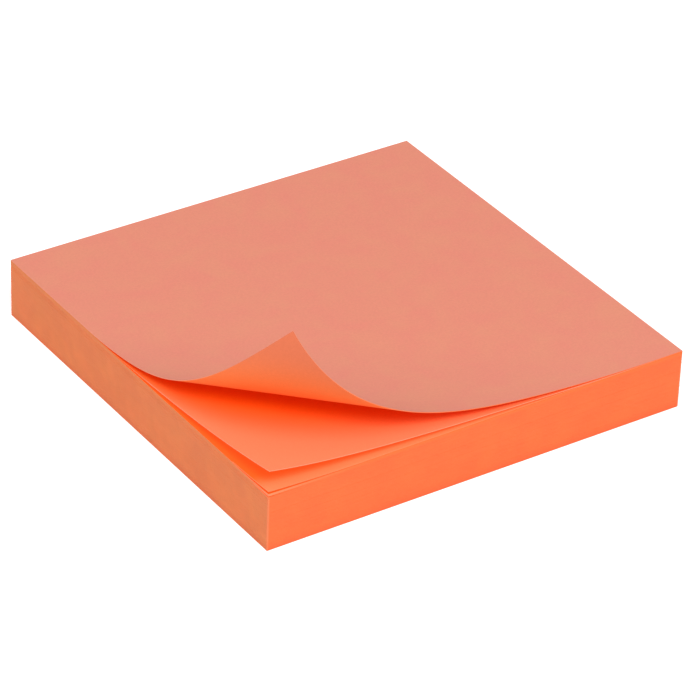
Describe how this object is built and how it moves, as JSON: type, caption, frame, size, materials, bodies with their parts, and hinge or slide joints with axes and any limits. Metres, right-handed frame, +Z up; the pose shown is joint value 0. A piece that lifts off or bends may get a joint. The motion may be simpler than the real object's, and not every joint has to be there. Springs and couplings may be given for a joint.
{
  "type": "sticky note pad",
  "caption": "Square pad of orange sticky notes, glued along one side, with the top note curled up at the free corner.",
  "frame": {"origin": "middle of the pad's underside, on the surface that it rests on", "axes": "+X along the free front side, +Y towards the glued side, +Z up; the curled corner is the one towards -X and -Y"},
  "size_m": [0.076, 0.076, 0.0305],
  "materials": {
    "block_paper": "matte bright orange paper, cut sheet edges",
    "note_paper": "matte bright orange paper",
    "top_paper": "matte salmon orange paper, bright orange underneath"
  },
  "bodies": {
    "root": {"pad_block": "block_paper", "stuck_notes": "block_paper", "third_note": "note_paper", "second_note": "note_paper", "top_note": "top_paper"}
  },
  "joints": []
}
